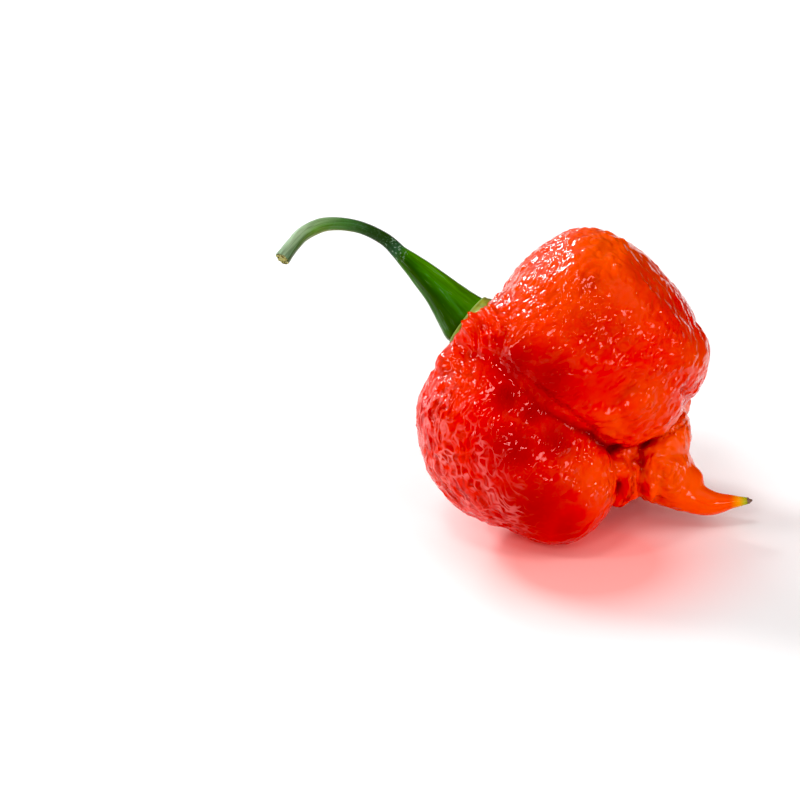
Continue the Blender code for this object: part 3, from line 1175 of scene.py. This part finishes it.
def makeStyle():
    line = smoothLine(styleSizes["line"], 6)
    thread, ways, frames = tubeAlong(line, styleSizes["sides"], "driedStyle")
    for point in thread.data.vertices:
        index, angle, outwards = ringPlace(point, line, frames)
        place, radius = line[index]
        ripple = noise.noise((math.cos(angle) * 2, math.sin(angle) * 2, index * 0.35))
        crumple = 1 + styleSizes["crumple"] * ripple
        point.co = place + outwards * radius * math.hypot(point.co.x, point.co.y) * crumple
    finishPiece(thread, "style_remnant", styleMaterial())
    print("dried style set on the tip")


makeStyle()

studioLights = {
    # the way to it, its distance in metres, its sides in metres, its power in watts
    "keyWindow": ((-0.62, 0.52, 0.54), 1.0, (0.22, 0.16), 4.8),
    "backPanel": ((-0.35, 0.85, 0.4), 1.3, (0.28, 0.12), 3.8),
    "leftWindow": ((-0.66, -0.25, 0.7), 1.0, (0.12, 0.08), 1.4),
    "topPanel": ((-0.25, -0.3, 0.9), 1.0, (0.22, 0.2), 1.9),
    "leftStrip": ((-0.93, 0.0, 0.2), 1.0, (0.08, 0.4), 1.2),
    "frontReflector": ((0.76, -0.62, 0.14), 1.0, (0.3, 0.22), 1.9),
    "rightFill": ((0.6, -0.2, 0.77), 1.0, (0.8, 0.8), 1.9),
    "rightPanel": ((0.9, -0.5, 0.25), 0.9, (1.0, 0.6), 1.5),
    "rightSpark": ((0.97, 0.15, 0.06), 1.0, (0.1, 0.08), 0.4),
    "frontSpark": ((0.35, -0.85, 0.45), 1.0, (0.15, 0.12), 0.85),
    "frontLeftSpark": ((-0.2, -0.75, 0.6), 1.0, (0.15, 0.12), 0.8),
    "lowFront": ((0.0, -0.97, 0.06), 1.0, (0.3, 0.08), 0.55),
}

roomLight = {
    # axis, where the light starts and is full, how bright it is there: the room in front is dark
    "behind": ("Y", 0.0, 0.5, 0.25),
    "leftward": ("X", 0.0, -0.6, 0.4),
    "overhead": ("Z", 0.3, 0.9, 0.32),
}

floorFinish = {
    "pale": (0.92, 0.92, 0.92, 1.0),
    "dark": (0.15, 0.15, 0.15, 1.0),
    "darkInFront": (-0.13, -0.3),  # metres along Y, outside the view
    "darkOnRight": (0.075, 0.11),  # metres along X, outside the view
    # the glow stands for red light that comes through the pod
    "glowMiddle": (0.010, -0.018, 0.0),
    "glowReach": (0.010, 0.032),  # metres from there: full and gone
    "glowShare": 0.94,
    "pink": (0.96, 0.39, 0.36, 1.0),
    "redLight": 0.15,  # the floor gives it off, so that the shadow stays red
    "shader": {
        "Roughness": 0.9,
        "Specular IOR Level": 0.1,
        "Emission Color": (1.0, 0.10, 0.08, 1.0),
    },
}


def addLight(name, towards, distance, size, power):
    aim = Vector((0.0, 0.0, 0.02))
    place = aim + Vector(towards).normalized() * distance
    turn = (aim - place).to_track_quat("-Z", "Y").to_euler()
    bpy.ops.object.light_add(type="AREA", location=place, rotation=turn)
    lamp = bpy.context.object
    lamp.name = name
    lamp.data.shape = "RECTANGLE"
    lamp.data.size, lamp.data.size_y = size
    lamp.data.energy = power


def lightRoom():
    world = bpy.data.worlds.new("paleStudio")
    bpy.context.scene.world = world
    world.use_nodes = True
    tree = world.node_tree
    sky = tree.nodes["Background"]
    sky.inputs["Color"].default_value = (1.0, 1.0, 1.0, 1.0)
    towards = addNode(tree, "ShaderNodeTexCoord").outputs["Generated"]
    parts = addNode(tree, "ShaderNodeSeparateXYZ", {"Vector": towards}).outputs
    glows = {}
    for name, (axis, start, full, strength) in roomLight.items():
        glows[name] = mapRange(tree, parts[axis], start, full, 0.0, strength)
    leftHalf = mapRange(tree, parts["X"], 0.4, -0.2, 0.15, 1.0)
    bright = calculate(tree, "ADD", both(tree, glows["behind"], leftHalf), glows["leftward"])
    bright = calculate(tree, "ADD", bright, glows["overhead"])
    tree.links.new(bright, sky.inputs["Strength"])


def floorMaterial():
    finish = floorFinish
    material, tree, shader = newMaterial("pale matt floor")
    place = objectPlaces(tree)
    parts = addNode(tree, "ShaderNodeSeparateXYZ", {"Vector": place}).outputs
    inFront = mapRange(tree, parts["Y"], *finish["darkInFront"], 0.0, 1.0)
    onRight = mapRange(tree, parts["X"], *finish["darkOnRight"], 0.0, 1.0)
    dark = calculate(tree, "MAXIMUM", inFront, onRight)
    shade = mixColours(tree, dark, finish["pale"], finish["dark"])
    away = addNode(tree, "ShaderNodeVectorMath", {0: place, 1: finish["glowMiddle"]}, operation="DISTANCE")
    near = mapRange(tree, away.outputs["Value"], *finish["glowReach"], finish["glowShare"], 0.0)
    glow = both(tree, near, near)
    shade = mixColours(tree, glow, shade, finish["pink"])
    tree.links.new(shade, shader.inputs["Base Color"])
    redLight = mapRange(tree, glow, 0.0, 1.0, 0.0, finish["redLight"])
    tree.links.new(redLight, shader.inputs["Emission Strength"])
    setSockets(shader, finish["shader"])
    return material


def makeStudio():
    deselectAll()
    for name, (towards, distance, size, power) in studioLights.items():
        addLight(name, towards, distance, size, power)
    lightRoom()
    bpy.ops.mesh.primitive_plane_add(size=6.0, location=(0, 0, 0))
    floor = bpy.context.object
    floor.name = "paleFloor"
    floor.data.materials.append(floorMaterial())
    grading = bpy.context.scene.view_settings
    grading.view_transform = "Standard"
    grading.use_curve_mapping = True
    grading.curve_mapping.initialize()
    grading.curve_mapping.black_level = (0.0, 0.028, 0.026)  # deep reds keep no grey
    grading.curve_mapping.update()
    print("studio lit")


makeStudio()
